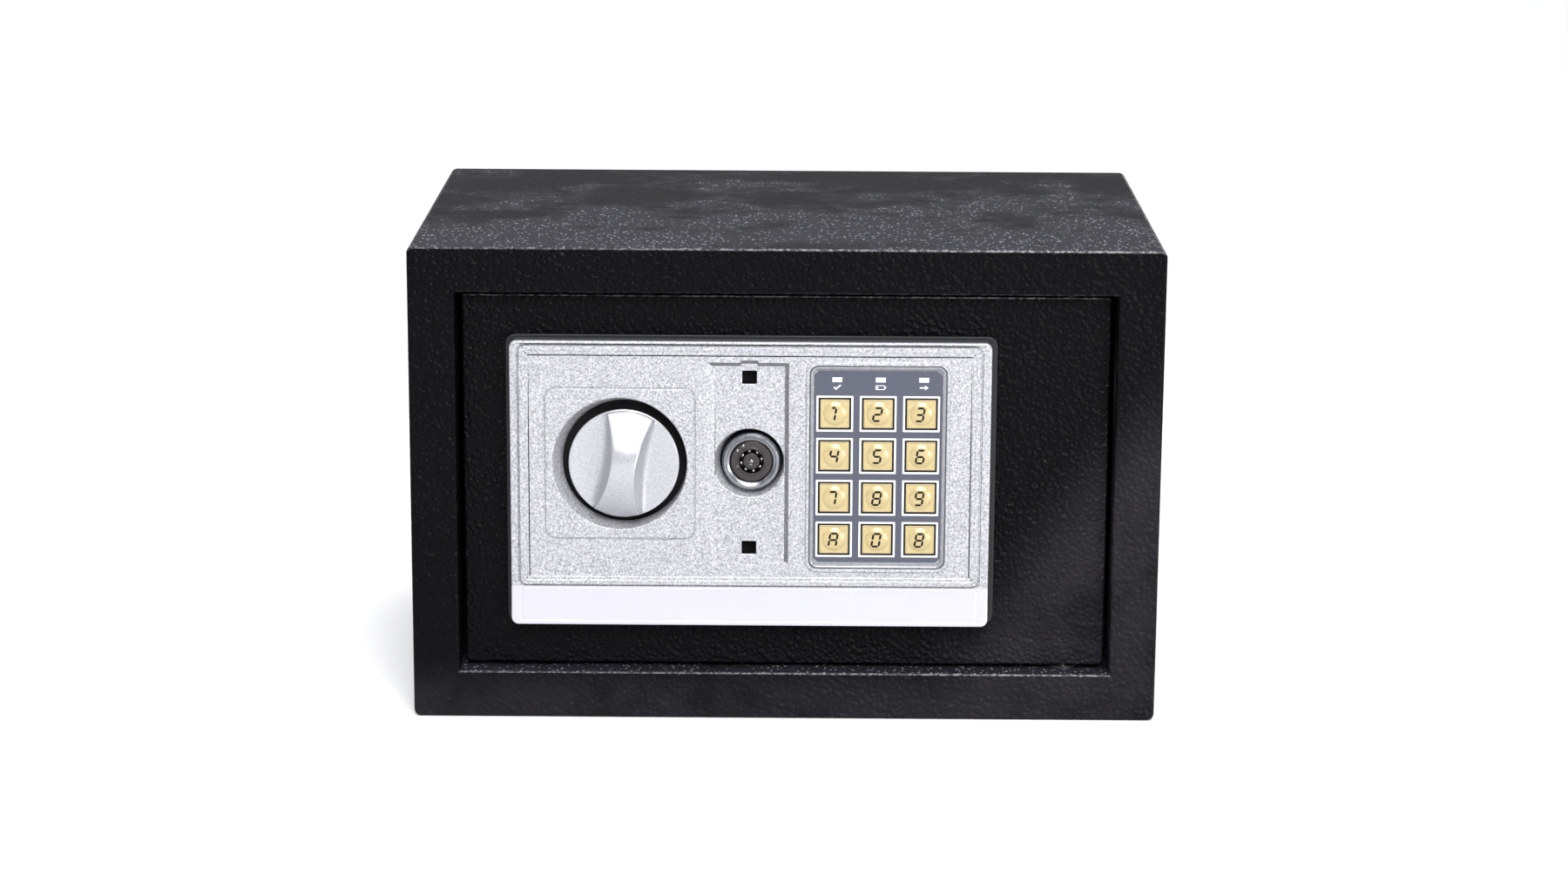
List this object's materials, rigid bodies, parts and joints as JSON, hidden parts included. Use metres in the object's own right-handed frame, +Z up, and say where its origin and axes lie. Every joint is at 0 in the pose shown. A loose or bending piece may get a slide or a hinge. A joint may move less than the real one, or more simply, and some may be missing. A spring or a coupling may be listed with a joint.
{
  "type": "electronic safe",
  "caption": "Small steel safe with a recessed pivoting door, turn knob, tubular override lock and keypad, and its bolt work behind the door.",
  "frame": {"origin": "centre of the cabinet's underside, on the plane that it stands on", "axes": "+X to the right seen from the front, +Y from the front to the back, +Z up"},
  "size_m": [0.31, 0.2125, 0.2],
  "materials": {
    "powder_coat": "black textured powder coat",
    "panel_silver": "fine metallic silver paint",
    "base_texture": "dark moulded texture",
    "knob_silver": "satin metallic silver paint",
    "zinc_plate": "bright zinc plate",
    "bolt_steel": "polished nickel plate",
    "lock_nickel": "polished nickel plate",
    "plug_steel": "dark satin",
    "bush_brass": "turned",
    "nylon": "natural nylon",
    "felt": "needle felt",
    "cover_black": "fine moulded texture",
    "frame_grey": "semi-matt",
    "overlay_slate": "printed film",
    "key_gold": "satin metallic gold",
    "lamp_white": "clear white lens",
    "board_green": "solder mask",
    "switch_black": "moulded",
    "coil_wire": "enamelled copper wire",
    "lead_red": "insulated wire",
    "grommet_rubber": "soft black rubber",
    "cell_jacket": "printed jacket, plain bands",
    "reset_red": "moulded"
  },
  "bodies": {
    "cabinet": {"cabinet_wrap": "powder_coat", "front_frame": "powder_coat", "back_panel": "powder_coat", "pivot_bushes": "nylon", "floor_mat": "felt"},
    "door": {"door_plate": "powder_coat", "hinge_lugs": "powder_coat", "hinge_pins": "zinc_plate", "bolt_guide": "zinc_plate", "inner_cover": "powder_coat", "cover_posts": "zinc_plate", "cover_screws": "zinc_plate", "panel_base": "base_texture", "control_panel": "panel_silver", "panel_screws": "zinc_plate", "keypad_frame": "frame_grey", "keypad_overlay": "overlay_slate", "indicator_lamps": "lamp_white", "keypad_board": "board_green", "key_switches": "switch_black", "cable_grommet": "grommet_rubber", "wiring_harness": "lead_red", "lock_housing": "lock_nickel", "lock_nut": "zinc_plate", "knob_bush": "bush_brass", "carriage_studs": "zinc_plate", "stud_clips": "zinc_plate", "solenoid_frame": "zinc_plate", "solenoid_coil": "coil_wire", "battery_tray": "cover_black", "battery_cells": "cell_jacket", "battery_contacts": "zinc_plate", "reset_switch": "switch_black"},
    "knob": {"knob": "knob_silver", "knob_shaft": "zinc_plate", "shaft_clip": "zinc_plate", "crank_arm": "zinc_plate"},
    "bolt_carriage": {"bolt_plate": "zinc_plate", "locking_bolts": "bolt_steel", "bolt_screws": "zinc_plate"},
    "override_plug": {"lock_plug": "plug_steel", "lock_cam": "zinc_plate", "cam_screw": "zinc_plate"},
    "plunger": {"plunger": "bolt_steel", "plunger_spring": "zinc_plate"},
    "battery_cover": {"battery_cover": "cover_black"},
    "reset_button": {"reset_button": "reset_red"},
    "key_1": {"key_1": "key_gold"},
    "key_2": {"key_2": "key_gold"},
    "key_3": {"key_3": "key_gold"},
    "key_4": {"key_4": "key_gold"},
    "key_5": {"key_5": "key_gold"},
    "key_6": {"key_6": "key_gold"},
    "key_7": {"key_7": "key_gold"},
    "key_8": {"key_8": "key_gold"},
    "key_9": {"key_9": "key_gold"},
    "key_a": {"key_a": "key_gold"},
    "key_0": {"key_0": "key_gold"},
    "key_b": {"key_b": "key_gold"}
  },
  "joints": [
    {"name": "door_hinge", "type": "hinge", "parent": "cabinet", "child": "door", "pos_m": [0.1165, -0.0848, 0.1], "axis": [0, 0, 1], "range_deg": [0, 100]},
    {"name": "knob_turn", "type": "hinge", "parent": "door", "child": "knob", "pos_m": [-0.0666, -0.09, 0.11], "axis": [0, -1, 0], "range_deg": [0, 90]},
    {"name": "bolt_slide", "type": "slide", "parent": "door", "child": "bolt_carriage", "axis": [-1, 0, 0], "range_m": [0, 0.014]},
    {"name": "plunger_drop", "type": "slide", "parent": "door", "child": "plunger", "axis": [0, 0, -1], "range_m": [0, 0.008], "deforming": ["plunger_spring"]},
    {"name": "override_turn", "type": "hinge", "parent": "door", "child": "override_plug", "pos_m": [-0.0141, -0.09, 0.1108], "axis": [0, 1, 0], "range_deg": [0, 90]},
    {"name": "battery_cover_lift", "type": "slide", "parent": "door", "child": "battery_cover", "axis": [0, 1, 0], "range_m": [0, 0.025]},
    {"name": "reset_press", "type": "slide", "parent": "door", "child": "reset_button", "axis": [0, -1, 0], "range_m": [0, 0.002], "stiffness_N_per_m": 200},
    {"name": "key_1_press", "type": "slide", "parent": "door", "child": "key_1", "axis": [0, 1, 0], "range_m": [0, 0.0006], "stiffness_N_per_m": 300},
    {"name": "key_2_press", "type": "slide", "parent": "door", "child": "key_2", "axis": [0, 1, 0], "range_m": [0, 0.0006], "stiffness_N_per_m": 300},
    {"name": "key_3_press", "type": "slide", "parent": "door", "child": "key_3", "axis": [0, 1, 0], "range_m": [0, 0.0006], "stiffness_N_per_m": 300},
    {"name": "key_4_press", "type": "slide", "parent": "door", "child": "key_4", "axis": [0, 1, 0], "range_m": [0, 0.0006], "stiffness_N_per_m": 300},
    {"name": "key_5_press", "type": "slide", "parent": "door", "child": "key_5", "axis": [0, 1, 0], "range_m": [0, 0.0006], "stiffness_N_per_m": 300},
    {"name": "key_6_press", "type": "slide", "parent": "door", "child": "key_6", "axis": [0, 1, 0], "range_m": [0, 0.0006], "stiffness_N_per_m": 300},
    {"name": "key_7_press", "type": "slide", "parent": "door", "child": "key_7", "axis": [0, 1, 0], "range_m": [0, 0.0006], "stiffness_N_per_m": 300},
    {"name": "key_8_press", "type": "slide", "parent": "door", "child": "key_8", "axis": [0, 1, 0], "range_m": [0, 0.0006], "stiffness_N_per_m": 300},
    {"name": "key_9_press", "type": "slide", "parent": "door", "child": "key_9", "axis": [0, 1, 0], "range_m": [0, 0.0006], "stiffness_N_per_m": 300},
    {"name": "key_a_press", "type": "slide", "parent": "door", "child": "key_a", "axis": [0, 1, 0], "range_m": [0, 0.0006], "stiffness_N_per_m": 300},
    {"name": "key_0_press", "type": "slide", "parent": "door", "child": "key_0", "axis": [0, 1, 0], "range_m": [0, 0.0006], "stiffness_N_per_m": 300},
    {"name": "key_b_press", "type": "slide", "parent": "door", "child": "key_b", "axis": [0, 1, 0], "range_m": [0, 0.0006], "stiffness_N_per_m": 300}
  ],
  "couplings": [
    {"joint": "knob_turn", "follows": "bolt_slide", "rad_per_m": 112.2},
    {"joint": "plunger_drop", "follows": "bolt_slide", "ratio": 0.57142}
  ]
}
